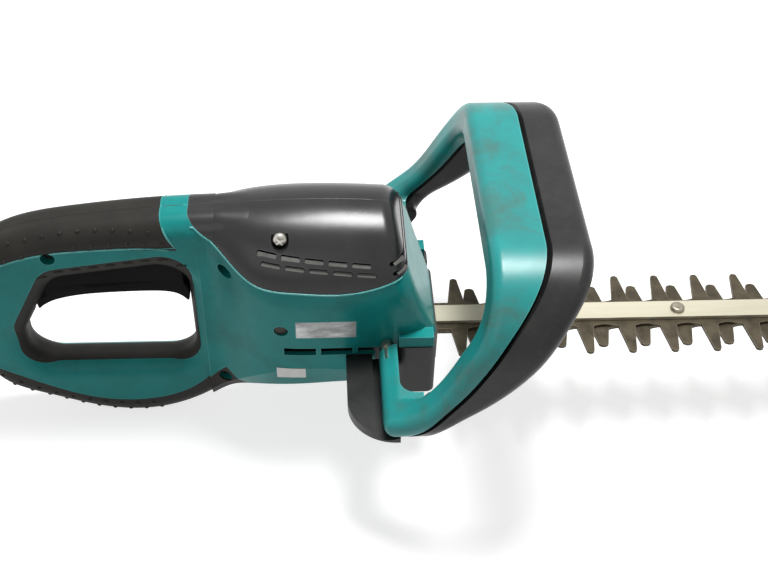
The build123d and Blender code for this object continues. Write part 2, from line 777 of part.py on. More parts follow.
def pad_region(grow):
    with BuildPart() as region:
        low = [(x, z - grow) for x, z in pad_edge]
        front = [(x + grow, z) for x, z in pad_front]
        tip = (low[-1][0] + grow, low[-1][1])
        with BuildSketch(Plane.XZ):
            with BuildLine():
                Spline(*low[:-1], tip)
                ThreePointArc(tip, front[0], front[1])
                Polyline(front[1], (front[1][0], far_up), (low[0][0], far_up), low[0])
            make_face()
        extrude(amount=half_body, both=True)
    return region.part


def strip_region(grow):
    top = [(x, z + grow) for x, z in strip_edge]
    peak = [(strip_peak[0][0], strip_peak[0][1] + grow), (strip_peak[1][0] + grow, strip_peak[1][1])]
    edge = peak + [(peak[1][0], far_down), (top[0][0], far_down)]
    return side_region(top, edge, 0.0)


def cover_region(grow):
    first = cover_edge[0]
    last = cover_edge[-1]
    edge = [(half_body, last[1] - grow), (half_body, far_up), (first[0], far_up)]
    return side_region(cover_edge, edge, grow)


def liner_region(grow):
    with BuildPart() as region:
        with BuildSketch(Plane.XZ) as ring:
            Polygon(*opening_points([width + grow for width in liner_widths]), align=None)
            fillet(ring.vertices(), opening_round + grow)
        extrude(amount=half_body, both=True)
    return region.part


def plate_region(grow):
    rear, front, low, high = plate_box
    with BuildPart() as region:
        with BuildSketch(Plane.XZ):
            with Locations(((rear + front) / 2, (low + high) / 2)):
                Rectangle(front - rear + 2 * grow, high - low + 2 * grow)
        extrude(amount=half_body)
    return region.part


def skin_piece(region):
    """The part of the outer skin, one pad deep, that lies inside a region."""
    with BuildPart() as piece:
        add(region)
        add(outer_form, mode=Mode.INTERSECT)
        add(floor_form, mode=Mode.SUBTRACT)
    return piece.part


# Inside of the shell, less the bosses and ribs that stand in it
half_handle = handle_width / 2
cover_boss_radius = cover_pocket_radius + cover_boss_wall
boss_seat = case_width / 2 + slide_gap
screw_end = shell_screw_length - shell_screw_depth
lug_place = (case_lug_x, case_lug_z)


def both_sides(place, radius, near, far):
    """The same cross rod on the right and on the left."""
    return [cross_rod(place, radius, -far, -near), cross_rod(place, radius, near, far)]


bosses = [cross_rod(place, boss_radius, -half_body, half_body) for place in shell_screw_places]
bosses.append(cross_rod(cover_screw_place, cover_boss_radius, -half_body, half_body))
bosses += both_sides(trigger_pivot, trigger_lug_radius, trigger_width / 2 + 2 * trigger_side_gap, half_body)
bosses += both_sides(lug_place, boss_radius, boss_seat, half_body)
bosses += both_sides(bar_pivot, 2 * bar_pin_radius, boss_seat, half_body)
with BuildPart() as switch_ribs:
    for side in (-1, 1):
        rib_middle = side * (switch_size[1] / 2 + slide_gap + half_handle / 2)
        with Locations((switch_centre[0], rib_middle, switch_centre[1])):
            Box(rib_size[0], half_handle, rib_size[1])
with BuildPart() as cavity:
    add(cavity_form)
    add(bosses + [switch_ribs.part], mode=Mode.SUBTRACT)

slot_rear, slot_front, slot_low, slot_high = trigger_slot
slot_width = trigger_width + 2 * trigger_side_gap
with BuildPart() as trigger_slot_space:
    with BuildSketch(Plane.XZ):
        with Locations(((slot_rear + slot_front) / 2, (slot_low + slot_high) / 2)):
            Rectangle(slot_front - slot_rear, slot_high - slot_low)
    extrude(amount=slot_width / 2, both=True)

with BuildPart() as side_vents:
    with BuildSketch(Plane.XZ):
        for k in range(lower_vent_count):
            with Locations((lower_vent_first_x + lower_vent_pitch * k, lower_vent_z)):
                Rectangle(*lower_vent_size)
    extrude(amount=half_body, both=True)

gland_rear = handle_outline[5][0] - gland_stand
with BuildPart() as gland_hole:
    with BuildSketch(Plane.YZ.offset(gland_rear)):
        with Locations((0, gland_z)):
            Circle(gland_radius + thread_gap)
    extrude(amount=gland_length + gland_stand)

# Screw wells open on the right side, with the pilot holes running into the left half
wells = []
for place in shell_screw_places:
    wells.append(cross_rod(place, shell_screw_head_radius + rest_gap, -half_body, -shell_screw_depth))
pilots = []
for place in shell_screw_places:
    pilots.append(cross_rod(place, shell_screw_radius + thread_gap, -half_body, screw_end))
pin_holes = [cross_rod(trigger_pivot, trigger_pin_radius + thread_gap, -trigger_pin_length / 2,
                       trigger_pin_length / 2)]
pin_holes.append(cross_rod(bar_pivot, bar_pin_radius + thread_gap, -half_body, half_body))
lug_holes = both_sides(lug_place, shell_screw_head_radius + rest_gap, boss_seat + case_wall, half_body)
lug_holes += both_sides(lug_place, shell_screw_radius + thread_gap, 0, half_body)
recesses = [skin_piece(region(seam)) for region in (pad_region, strip_region, liner_region, plate_region)]

# Housing with its caps, the small teal shoulders that roof the gear case ears
cap_inner = case_width / 2 + cap_inset
cap_front = nose_foot[0] - cap_inset
ear_depth = ear_span - case_width
with BuildPart() as ear_notches:
    for side in (-1, 1):
        with BuildSketch(Plane.XY.offset(ear_top + rest_gap)):
            with Locations((ear_rear - rest_gap, side * (case_width + ear_depth) / 2)):
                Rectangle(half_body, ear_depth, align=(Align.MIN, Align.CENTER))
        extrude(amount=-half_body)
with BuildPart() as housing:
    add(outer_form)
    for side in (-1, 1):
        with Locations(((ear_rear + cap_front) / 2, side * (cap_inner + cap_span / 2) / 2,
                        (ear_top + rest_gap + cap_top) / 2)):
            Box(cap_front - ear_rear, cap_span / 2 - cap_inner, cap_top - ear_top - rest_gap)
    add(cavity.part, mode=Mode.SUBTRACT)
    add([cover_region(seam), trigger_slot_space.part, side_vents.part, gland_hole.part, ear_notches.part],
        mode=Mode.SUBTRACT)
    add(recesses, mode=Mode.SUBTRACT)
    add(wells + pilots + pin_holes + lug_holes, mode=Mode.SUBTRACT)

# Motor cover: black upper shell with two rows of vents on each side and one screw pocket
with BuildPart() as cover_vents:
    with BuildSketch(Plane.XZ):
        for (start_x, start_z), (end_x, end_z) in vent_rows:
            for k in range(vent_count):
                share = (k + 0.5) / vent_count
                with Locations((start_x + (end_x - start_x) * share, start_z + (end_z - start_z) * share)):
                    SlotOverall(vent_length, vent_height, rotation=vent_tilt)
        with Locations(*nose_vents):
            SlotOverall(nose_vent_length, vent_height, rotation=-2 * vent_tilt)
    extrude(amount=half_body, both=True)

cover_pocket = cross_rod(cover_screw_place, cover_pocket_radius, -half_body, -cover_screw_seat)
cover_pilot = cross_rod(cover_screw_place, shell_screw_radius + thread_gap, -half_body, cover_screw_end)
cover_bounds = cover_region(0.0)
with BuildPart() as motor_cover:
    add(cover_bounds)
    add(outer_form, mode=Mode.INTERSECT)
    add([cavity.part, cover_vents.part, cover_pocket, cover_pilot], mode=Mode.SUBTRACT)

# Rubber: upper grip pads, lower strip and the ring that lines the hand opening
with BuildPart() as grip_pad:
    add(skin_piece(pad_region(0.0)))
    add(wells, mode=Mode.SUBTRACT)
with BuildPart() as lower_strip:
    add(skin_piece(strip_region(0.0)))
    add(wells, mode=Mode.SUBTRACT)
with BuildPart() as handle_liner:
    add(skin_piece(liner_region(0.0)))
    add([trigger_slot_space.part] + wells, mode=Mode.SUBTRACT)

halved = (("housing", housing), ("motor_cover", motor_cover), ("grip_pad", grip_pad),
          ("lower_strip", lower_strip), ("handle_liner", handle_liner))
for name, whole in halved:
    for half, facing in (("right", Plane.XZ), ("left", -Plane.XZ)):
        with BuildPart() as one_half:
            with BuildSketch(facing):
                Rectangle(4 * half_body, 4 * half_body)
            extrude(amount=half_body)
            add(whole.part, mode=Mode.INTERSECT)
        save(one_half.part, f"{half}_{name}")

save(skin_piece(plate_region(0.0)), "rating_plate")

with BuildPart() as housing_screws:
    for place in shell_screw_places:
        add(cross_rod(place, shell_screw_radius, -shell_screw_depth, screw_end - slide_gap))
        add(cross_rod(place, shell_screw_head_radius, -shell_screw_depth - shell_screw_head_height,
                      -shell_screw_depth))
save(housing_screws.part, "housing_screws")

with BuildPart() as case_screws:
    seat = boss_seat + case_wall
    add(both_sides(lug_place, shell_screw_radius, case_width / 2 - case_wall, seat))
    add(both_sides(lug_place, shell_screw_head_radius, seat, seat + shell_screw_head_height))
save(case_screws.part, "case_screws")

with BuildPart() as cover_screw:
    add(cross_rod(cover_screw_place, shell_screw_radius, -cover_screw_seat, cover_screw_end - slide_gap))
    add(cross_rod(cover_screw_place, shell_screw_head_radius, -cover_screw_seat - shell_screw_head_height,
                  -cover_screw_seat))
save(cover_screw.part, "cover_screw")

# Cord gland in the rear of the handle
with BuildPart() as cord_gland:
    with BuildSketch(Plane.YZ.offset(gland_rear)):
        with Locations((0, gland_z)):
            Circle(gland_radius)
            Circle(gland_bore, mode=Mode.SUBTRACT)
    extrude(amount=gland_length)
    fillet(cord_gland.edges().group_by(Axis.X)[0].sort_by(SortBy.RADIUS)[-1], gland_round)
save(cord_gland.part, "cord_gland")

# Rear trigger: a long paddle that swings up into the grip about a pin at its front end
tuck_rear = (trigger_edge[0][0], opening_corners[3][1] + trigger_tuck)
pivot_x, pivot_z = trigger_pivot
with BuildPart() as rear_trigger:
    with BuildSketch(Plane.XZ):
        with BuildLine():
            Spline(*trigger_edge)
            Polyline(trigger_edge[-1], (pivot_x + trigger_lug_radius, pivot_z),
                     (pivot_x - trigger_lug_radius, pivot_z), tuck_rear, trigger_edge[0])
        make_face()
        with Locations(trigger_pivot):
            Circle(trigger_lug_radius)
    extrude(amount=trigger_width / 2, both=True)
    belly = rear_trigger.edges().filter_by(GeomType.BSPLINE).sort_by(Axis.Z)
    fillet([e for e in belly if abs(abs(e.center().Y) - trigger_width / 2) < slide_gap], trigger_round)
    add(cross_rod(trigger_pivot, trigger_pin_radius + run_gap, -half_body, half_body), mode=Mode.SUBTRACT)
    add(cross_rod(trigger_pivot, trigger_lug_radius + rest_gap, -spring_width / 2 - rest_gap,
                  spring_width / 2 + rest_gap), mode=Mode.SUBTRACT)
save(rear_trigger.part, "rear_trigger")

trigger_pin_end = trigger_pin_length / 2
save(cross_rod(trigger_pivot, trigger_pin_radius, -trigger_pin_end, trigger_pin_end), "trigger_pin")
coil_bore = trigger_pin_radius + run_gap
coil_end = spring_width / 2
with BuildPart() as trigger_spring:
    add(cross_rod(trigger_pivot, coil_bore + spring_gauge, -coil_end, coil_end))
    add(cross_rod(trigger_pivot, coil_bore, -coil_end, coil_end), mode=Mode.SUBTRACT)
save(trigger_spring.part, "trigger_spring")

with BuildPart() as rear_switch:
    with Locations((switch_centre[0], 0, switch_centre[1])):
        Box(*switch_size)
save(rear_switch.part, "rear_switch")

# Front handle: a broad hoop, split into a fixed black front and a sprung teal switch bar
def hoop_form(inset):
    foot = hoop_foot + inset
    top = hoop_top - inset
    half = hoop_width / 2 - inset
    top_half = hoop_top_width / 2 - inset
    band = hoop_band - 2 * inset
    with BuildPart() as ring:
        with BuildSketch(Plane.YZ.offset(-half_body)) as front_view:
            Polygon((-half, foot), (half, foot), (top_half, top), (-top_half, top), align=None)
            fillet(front_view.vertices().group_by(Axis.Y)[-1], hoop_top_round - inset)
            fillet(front_view.vertices().group_by(Axis.Y)[0], hoop_foot_round - inset)
        extrude(amount=2 * half_body)
        with BuildSketch(Plane.YZ.offset(-half_body)) as window:
            Polygon((band - half, foot + band), (half - band, foot + band), (top_half - band, top - band),
                    (band - top_half, top - band), align=None)
            fillet(window.vertices().group_by(Axis.Y)[-1], hoop_top_round - hoop_band + inset)
            fillet(window.vertices().group_by(Axis.Y)[0], hoop_foot_round - hoop_band + inset)
        extrude(amount=2 * half_body, mode=Mode.SUBTRACT)
    rear_curve = shifted(hoop_rear_curve, -inset)
    front_curve = shifted(hoop_front_curve, -inset)
    with BuildPart() as slab:
        with BuildSketch(Plane.XZ):
            with BuildLine():
                Spline(*rear_curve)
                Line(rear_curve[-1], front_curve[0])
                Spline(*front_curve)
                Polyline(front_curve[-1], (rear_curve[0][0], front_curve[-1][1]), rear_curve[0])
            make_face()
        extrude(amount=half_body, both=True)
        add(ring.part, mode=Mode.INTERSECT)
    return slab.part


hoop = hoop_form(0.0)
hoop_core = hoop_form(hoop_wall)
with BuildPart() as round_hoop:
    add(hoop)
    fillet([edge for edge in round_hoop.edges() if edge.length > hoop_band], hoop_edge_round)

split_top = hoop_split_curve[0]
split_foot = hoop_split_curve[-1]
rear_edge = [(-half_body, split_foot[1]), (-half_body, far_up), (split_top[0], far_up)]
behind_split = side_region(hoop_split_curve, rear_edge, 0.0)
gap_x = hoop_gap * cos(radians(hoop_gap_angle))
gap_z = hoop_gap * sin(radians(hoop_gap_angle))
ahead_curve = [(x + gap_x, z - gap_z) for x, z in hoop_split_curve]
bar_edge = [(ahead_curve[-1][0], far_up), (ahead_curve[0][0], far_up)]
bar_space = side_region(ahead_curve, bar_edge, 0.0)


def middle_block(span, rear, bottom, top):
    """A block about the middle plane, from its rear face forward, used to clear a space."""
    with BuildPart() as block:
        with BuildSketch(Plane.XY.offset(bottom)):
            with Locations((rear, 0)):
                Rectangle(2 * half_body, span, align=(Align.MIN, Align.CENTER))
        extrude(amount=top - bottom)
    return block.part


solid_arms = middle_block(arm_solid_span, -half_body, far_down, arm_clear_top)
with BuildPart() as hoop_channel:
    add(hoop_core)
    add(solid_arms, mode=Mode.SUBTRACT)
with BuildPart() as ear_space:
    add(middle_block(arm_free_span, arm_front, far_down, arm_clear_top))
    fillet(ear_space.edges().filter_by(Axis.Z).group_by(Axis.X)[0], arm_round)
case_space = middle_block(case_width, -half_body, far_down, arm_clear_top)
arm_end_space = middle_block(2 * arm_end, -half_body, far_down, arm_clear_top)
arm_top_space = middle_block(2 * arm_end, -half_body, arm_step, arm_clear_top)

with BuildPart() as front_switch_bar:
    add(round_hoop.part)
    add(behind_split, mode=Mode.INTERSECT)
    add([hoop_channel.part, ear_space.part, arm_end_space], mode=Mode.SUBTRACT)
    add(cross_rod(bar_pivot, bar_pin_radius + run_gap, -boss_seat - bar_pin_length - rest_gap,
                  boss_seat + bar_pin_length + rest_gap), mode=Mode.SUBTRACT)
save(front_switch_bar.part, "front_switch_bar")

with BuildPart() as front_handle_frame:
    add(round_hoop.part)
    for side in (-1, 1):
        with BuildSketch(Plane.XY.offset(fin_top - fin_thickness)) as fin_plan:
            with Locations(((fin_rear + fin_front) / 2, side * (fin_inner_span + fin_span) / 4)):
                Rectangle(fin_front - fin_rear, (fin_span - fin_inner_span) / 2)
            rear_corners = fin_plan.vertices().group_by(Axis.X)[0].sort_by(Axis.Y)
            fillet(rear_corners[-1] if side > 0 else rear_corners[0], fin_round)
        extrude(amount=fin_thickness)
    add([bar_space, hoop_channel.part, ear_space.part, case_space, arm_top_space], mode=Mode.SUBTRACT)
save(front_handle_frame.part, "front_handle_frame")

with BuildPart() as switch_bar_pins:
    add(both_sides(bar_pivot, bar_pin_radius, boss_seat, boss_seat + bar_pin_length))
save(switch_bar_pins.part, "switch_bar_pins")

spring_far = arm_end - rest_gap
spring_near = spring_far - spring_width
bar_coil_bore = bar_pin_radius + run_gap
with BuildPart() as switch_bar_springs:
    add(both_sides(bar_pivot, bar_coil_bore + spring_gauge, spring_near, spring_far))
    add(both_sides(bar_pivot, bar_coil_bore, spring_near, spring_far), mode=Mode.SUBTRACT)
save(switch_bar_springs.part, "switch_bar_springs")
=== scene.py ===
"""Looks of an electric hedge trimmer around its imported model: metres, +X along the blade, +Z up."""

import math

import bpy
from mathutils import Matrix, Vector


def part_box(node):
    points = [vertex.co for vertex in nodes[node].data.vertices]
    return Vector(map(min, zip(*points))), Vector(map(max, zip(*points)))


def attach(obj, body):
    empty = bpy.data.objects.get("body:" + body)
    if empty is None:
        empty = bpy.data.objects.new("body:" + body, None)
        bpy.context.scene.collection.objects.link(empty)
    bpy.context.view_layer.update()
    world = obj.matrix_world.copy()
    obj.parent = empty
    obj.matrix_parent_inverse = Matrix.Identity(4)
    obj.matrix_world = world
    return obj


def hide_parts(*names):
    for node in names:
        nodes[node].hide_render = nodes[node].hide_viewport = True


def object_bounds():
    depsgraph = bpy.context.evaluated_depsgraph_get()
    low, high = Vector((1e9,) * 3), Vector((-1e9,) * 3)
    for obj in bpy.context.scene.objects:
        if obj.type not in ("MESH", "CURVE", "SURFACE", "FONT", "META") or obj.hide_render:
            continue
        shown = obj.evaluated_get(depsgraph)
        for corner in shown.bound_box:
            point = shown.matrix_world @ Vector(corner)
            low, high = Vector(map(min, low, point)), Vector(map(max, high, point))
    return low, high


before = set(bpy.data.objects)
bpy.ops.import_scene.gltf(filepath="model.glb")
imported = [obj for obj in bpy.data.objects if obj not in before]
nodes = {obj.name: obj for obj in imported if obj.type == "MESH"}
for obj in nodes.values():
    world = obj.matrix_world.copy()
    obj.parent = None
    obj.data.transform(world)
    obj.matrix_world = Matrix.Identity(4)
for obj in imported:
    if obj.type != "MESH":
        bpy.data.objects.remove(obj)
cad_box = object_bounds()

# Motor
# Iron laminations on a steel shaft in two bearings, a turned copper commutator with carbon brushes, and
# a moulded fan, shroud and brush carrier. The housing seals it in, and oil has only faintly marked it.
patch_detail = 7
patch_contrast = 0.62
patch_blend = (0.36, 0.74)
grain_detail = 2
grain_strength = 0.6


def mottled(name, colour, stain, patch, roughness, grain, grain_depth, metallic=0.0, stretch=(1, 1, 1),
            gloss=0.5):
    """A finish of two colours in soft patches, with a roughness that follows them and a fine grain."""
    material = bpy.data.materials.new(name)
    material.use_nodes = True
    tree = material.node_tree
    shader = tree.nodes["Principled BSDF"]
    shader.inputs["Metallic"].default_value = metallic
    shader.inputs["Specular IOR Level"].default_value = gloss
    place = tree.nodes.new("ShaderNodeTexCoord")
    turned = tree.nodes.new("ShaderNodeMapping")
    turned.inputs["Scale"].default_value = stretch
    tree.links.new(place.outputs["Object"], turned.inputs["Vector"])
    patches = tree.nodes.new("ShaderNodeTexNoise")
    patches.inputs["Scale"].default_value = 1 / patch
    patches.inputs["Detail"].default_value = patch_detail
    patches.inputs["Roughness"].default_value = patch_contrast
    tree.links.new(turned.outputs["Vector"], patches.inputs["Vector"])
    shade = tree.nodes.new("ShaderNodeValToRGB")
    shade.color_ramp.elements[0].position = patch_blend[0]
    shade.color_ramp.elements[0].color = (*colour, 1)
    shade.color_ramp.elements[1].position = patch_blend[1]
    shade.color_ramp.elements[1].color = (*stain, 1)
    tree.links.new(patches.outputs["Fac"], shade.inputs["Fac"])
    tree.links.new(shade.outputs["Color"], shader.inputs["Base Color"])
    dull = tree.nodes.new("ShaderNodeMapRange")
    dull.inputs["To Min"].default_value = roughness[0]
    dull.inputs["To Max"].default_value = roughness[1]
    tree.links.new(patches.outputs["Fac"], dull.inputs["Value"])
    tree.links.new(dull.outputs["Result"], shader.inputs["Roughness"])
    texture = tree.nodes.new("ShaderNodeTexNoise")
    texture.inputs["Scale"].default_value = 1 / grain
    texture.inputs["Detail"].default_value = grain_detail
    tree.links.new(turned.outputs["Vector"], texture.inputs["Vector"])
    bump = tree.nodes.new("ShaderNodeBump")
    bump.inputs["Strength"].default_value = grain_strength
    bump.inputs["Distance"].default_value = grain_depth
    tree.links.new(texture.outputs["Fac"], bump.inputs["Height"])
    tree.links.new(bump.outputs["Normal"], shader.inputs["Normal"])
    return material


def dress(material, *names):
    """Gives CAD nodes that stay as they are their finish."""
    for name in names:
        for slot in nodes[name].material_slots:
            slot.material = material


oiled_steel = mottled("oiled_steel", (0.42, 0.40, 0.36), (0.30, 0.27, 0.22), 0.012, (0.28, 0.45),
                      0.0006, 0.00002, 1.0)
laminations = mottled("laminations", (0.16, 0.15, 0.14), (0.10, 0.09, 0.08), 0.02, (0.4, 0.55), 0.0012,
                      0.00004, 1.0, (0.2, 0.2, 4))
turned_copper = mottled("turned_copper", (0.62, 0.30, 0.14), (0.40, 0.20, 0.09), 0.006, (0.25, 0.4),
                        0.0005, 0.00002, 1.0)
pressed_carbon = mottled("pressed_carbon", (0.020, 0.020, 0.021), (0.035, 0.034, 0.033), 0.004,
                         (0.6, 0.75), 0.0004, 0.00003)
inner_plastic = mottled("inner_plastic", (0.012, 0.012, 0.013), (0.022, 0.021, 0.020), 0.03,
                        (0.45, 0.6), 0.0008, 0.00003, gloss=0.35)
dress(laminations, "motor_field", "rotor_core")
dress(oiled_steel, "rotor_shaft", "rotor_upper_bearing", "rotor_lower_bearing")
dress(turned_copper, "commutator", "brush_holders")
dress(pressed_carbon, "carbon_brushes")
dress(inner_plastic, "fan_shroud", "cooling_fan", "brush_carrier")

# Crank drive
# A steel gear on an upright shaft, with two opposed cams that stand in the yokes of the blades. It turns
# in two plain bearings of the gear case, wet with oil.
dress(oiled_steel, "crank_shaft", "crank_gear", "upper_cam", "lower_cam", "crank_upper_bearing",
      "crank_lower_bearing")

# Switches and cord gland
# Two snap switches in black moulded cases, one in the grip and one on the gear case, and an open bush of
# the same plastic in the rear of the handle.
dress(inner_plastic, "rear_switch", "front_switch", "cord_gland")

# Gear case
# A die cast case under the nose, closed by a flat cover below and painted black. Its two side ears carry
# the front handle and stand outside the housing, rubbed pale on their edges.
edge_samples = 6
edge_agreement = (0.985, 0.86)
mix_amount = 0
mix_under = 6
mix_over = 7
mix_result = 2


def overlay(material, colour, amount):
    """Mixes a colour over a finish by an amount from its tree. The mix node's sockets go by number."""
    tree = material.node_tree
    base = tree.nodes["Principled BSDF"].inputs["Base Color"]
    mix = tree.nodes.new("ShaderNodeMix")
    mix.data_type = "RGBA"
    mix.inputs[mix_over].default_value = (*colour, 1)
    tree.links.new(amount, mix.inputs[mix_amount])
    tree.links.new(base.links[0].from_socket, mix.inputs[mix_under])
    tree.links.new(mix.outputs[mix_result], base)


def wear_and_highlight_edges(material, wear_and_highlight_colour, reach, amount):
    """Paints the sharp edges of a finish a paler colour, over a reach in metres. On some finishes this is
    edge wear, on the teal ones a painted highlight.
    """
    tree = material.node_tree
    rounded = tree.nodes.new("ShaderNodeBevel")
    rounded.samples = edge_samples
    rounded.inputs["Radius"].default_value = reach
    surface = tree.nodes.new("ShaderNodeNewGeometry")
    agreement = tree.nodes.new("ShaderNodeVectorMath")
    agreement.operation = "DOT_PRODUCT"
    tree.links.new(rounded.outputs["Normal"], agreement.inputs[0])
    tree.links.new(surface.outputs["Normal"], agreement.inputs[1])
    edge = tree.nodes.new("ShaderNodeMapRange")
    edge.inputs["From Min"].default_value = edge_agreement[0]
    edge.inputs["From Max"].default_value = edge_agreement[1]
    edge.inputs["To Max"].default_value = amount
    tree.links.new(agreement.outputs["Value"], edge.inputs["Value"])
    overlay(material, wear_and_highlight_colour, edge.outputs["Result"])


painted_casting = mottled("painted_casting", (0.024, 0.024, 0.024), (0.046, 0.044, 0.041), 0.03,
                          (0.42, 0.62), 0.0011, 0.00012, gloss=0.4)
wear_and_highlight_edges(painted_casting, (0.14, 0.135, 0.13), 0.0008, 0.5)
dress(painted_casting, "gear_case", "gear_case_cover")

# Cutting blades
# Two ground steel plates that slide past each other, the upper one with long teeth and the lower one
# with short teeth. Sap and rust have browned the steel, and the ground edges catch a little light.
sappy_steel = mottled("sappy_steel", (0.090, 0.073, 0.046), (0.022, 0.018, 0.011), 0.011, (0.32, 0.6),
                      0.0009, 0.00006, 0.7)
wear_and_highlight_edges(sappy_steel, (0.30, 0.26, 0.19), 0.0007, 0.6)
dress(sappy_steel, "upper_blade", "lower_blade")

# Guide bar
# A bright drawn steel bar screwed over the blades. It is rubbed along its length, with fine scratches
# and a few grey stains.
drawn_steel = mottled("drawn_steel", (0.64, 0.610, 0.480), (0.44, 0.410, 0.310), 0.03, (0.30, 0.5),
                      0.0011, 0.00003, 0.85, (0.12, 1.2, 1))
dress(drawn_steel, "guide_bar")

# Blade screws and nuts
# Six pan head screws through the bar and both blades, each with a shouldered nut below, in plain zinc
# plate gone dull.
dull_zinc = mottled("dull_zinc", (0.34, 0.31, 0.25), (0.16, 0.13, 0.09), 0.004, (0.3, 0.5), 0.0006,
                    0.00003, 0.9)
screw_count = sum(name.startswith("blade_screw_") for name in nodes)
for number in range(1, screw_count + 1):
    dress(dull_zinc, f"blade_screw_{number}", f"blade_nut_{number}")

# Housing halves
# Two teal injection mouldings screwed together along the middle plane, with the rear handle in one
# piece with the motor body. A fine sparked grain and thin dark dirt cover them, and their sharp edges
# are painted a brighter teal, a painted highlight.
stain_detail = 9
stain_contrast = 0.7
stain_swirl = 0.6
stain_cover = (0.48, 0.72)


def soil(material, dirt, patch, amount):
    """Lays soft stains of dirt over a finish."""
    tree = material.node_tree
    place = tree.nodes.new("ShaderNodeTexCoord")
    stains = tree.nodes.new("ShaderNodeTexNoise")
    stains.inputs["Scale"].default_value = 1 / patch
    stains.inputs["Detail"].default_value = stain_detail
    stains.inputs["Roughness"].default_value = stain_contrast
    stains.inputs["Distortion"].default_value = stain_swirl
    tree.links.new(place.outputs["Object"], stains.inputs["Vector"])
    cover = tree.nodes.new("ShaderNodeMapRange")
    cover.inputs["From Min"].default_value = stain_cover[0]
    cover.inputs["From Max"].default_value = stain_cover[1]
    cover.inputs["To Max"].default_value = amount
    tree.links.new(stains.outputs["Fac"], cover.inputs["Value"])
    overlay(material, dirt, cover.outputs["Result"])


moulded_teal = mottled("moulded_teal", (0.008, 0.275, 0.262), (0.005, 0.205, 0.196), 0.045,
                       (0.25, 0.38), 0.0007, 0.00003, gloss=0.18)
soil(moulded_teal, (0.010, 0.070, 0.068), 0.030, 0.40)
# Brighter teal on the sharp edges: a painted highlight.
wear_and_highlight_edges(moulded_teal, (0.12, 0.50, 0.47), 0.0012, 0.55)
dress(moulded_teal, "right_housing", "left_housing")

# Housing and case screws
# Blackened steel screws. Four sit deep in round wells on the right and join the housing halves, and one
# on each side holds the housing to the gear case.
black_steel = mottled("black_steel", (0.030, 0.029, 0.027), (0.055, 0.048, 0.038), 0.006, (0.4, 0.6),
                      0.0006, 0.00003, 0.8)
dress(black_steel, "housing_screws", "case_screws")

# Motor covers
# A black upper shell in two halves over the motor, moulded in glass filled plastic and screwed together
# across the middle. It is satin, and handling has polished its crown.
satin_black = mottled("satin_black", (0.0105, 0.0105, 0.011), (0.019, 0.019, 0.019), 0.04, (0.20, 0.31),
                      0.0008, 0.00003, gloss=0.4)
wear_and_highlight_edges(satin_black, (0.06, 0.06, 0.06), 0.0010, 0.5)
dress(satin_black, "right_motor_cover", "left_motor_cover")

# Cover shoulders
# The rear of each cover half runs smoothly from the narrow neck up to its crown, as one drawn skin in
# the same black plastic, laid over the solid and sunk into it along its border.
shoulder_rear = -0.1375
shoulder_front = -0.1120
shoulder_core = 0.075
shoulder_spread = math.radians(53)
shoulder_cells = (30, 36)
shoulder_sink = 0.0004
shoulder_thickness = 0.0008
shoulder_middle = 0.0001
shoulder_fade = 4
border_fall = 6
probe_reach = 0.15
crease_angle = math.radians(40)


def cover_reach(cover, x, angle, side):
    """Distance from a line inside the neck out to the skin of a cover half, at an angle from the crest."""
    out = Vector((0, side * math.sin(angle), math.cos(angle)))
    core = Vector((x, side * shoulder_middle, shoulder_core))
    hit, place, normal, face = cover.ray_cast(core + out * probe_reach, -out)
    return (place - core).length


def finish_piece(piece, name, material, body="body"):
    """Sets a piece's place in its mesh, gives it its finish and lets it ride on a body."""
    bpy.ops.object.select_all(action="DESELECT")
    piece.select_set(True)
    bpy.context.view_layer.objects.active = piece
    bpy.ops.object.transform_apply(location=True, rotation=True, scale=True)
    piece.name = name
    piece.data.materials.clear()
    piece.data.materials.append(material)
    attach(piece, body)


for half, side in (("right", -1), ("left", 1)):
    cover = nodes[half + "_motor_cover"]
    bpy.ops.object.select_all(action="DESELECT")
    bpy.ops.mesh.primitive_grid_add(x_subdivisions=shoulder_cells[0], y_subdivisions=shoulder_cells[1],
                                    size=1)
    shoulder = bpy.context.object
    for corner in shoulder.data.vertices:
        share = corner.co.x + 0.5
        around = corner.co.y + 0.5
        angle = around * shoulder_spread
        x = shoulder_rear + share * (shoulder_front - shoulder_rear)
        drawn = ((1 - share) * cover_reach(cover, shoulder_rear, angle, side)
                 + share * cover_reach(cover, shoulder_front, angle, side))
        skin = cover_reach(cover, x, angle, side)
        fill = max(drawn - skin, 0) * (1 - around ** shoulder_fade)
        reach = skin + fill - shoulder_sink * max(abs(2 * share - 1), around) ** border_fall
        corner.co = (x, side * math.sin(angle) * reach, shoulder_core + math.cos(angle) * reach)
    if side < 0:
        bpy.ops.object.mode_set(mode="EDIT")
        bpy.ops.mesh.select_all(action="SELECT")
        bpy.ops.mesh.flip_normals()
        bpy.ops.object.mode_set(mode="OBJECT")
    wall = shoulder.modifiers.new("wall", "SOLIDIFY")
    wall.thickness = shoulder_thickness
    wall.offset = -1
    bpy.ops.object.modifier_apply(modifier=wall.name)
    bpy.ops.object.shade_smooth_by_angle(angle=crease_angle)
    finish_piece(shoulder, half + "_cover_shoulder", satin_black)

# Vent louvres
# Sloped slats moulded behind each slot of the cover, so that rain runs off. They are coloured a pale
# grey all over, far paler than the cover: a painted highlight on the slats, with some dust on them.
vent_rows = [((-0.112, 0.0855), (-0.044, 0.0785)), ((-0.110, 0.0805), (-0.041, 0.0735))]
vent_count = 5
vent_half_height = 0.0022
slat_size = (0.0112, 0.0028, 0.0009)
slat_rounding = 0.0002
slat_reach = 0.0045
nose_slat_share = 0.7
slat_depth = 0.0017
slat_drop = 0.0010
slat_slope = math.radians(42)
vent_fall = math.radians(5.9)
nose_vents = [(-0.029, 0.080), (-0.027, 0.075)]
nose_vent_rise = math.radians(-11.8)
far_side = 0.25


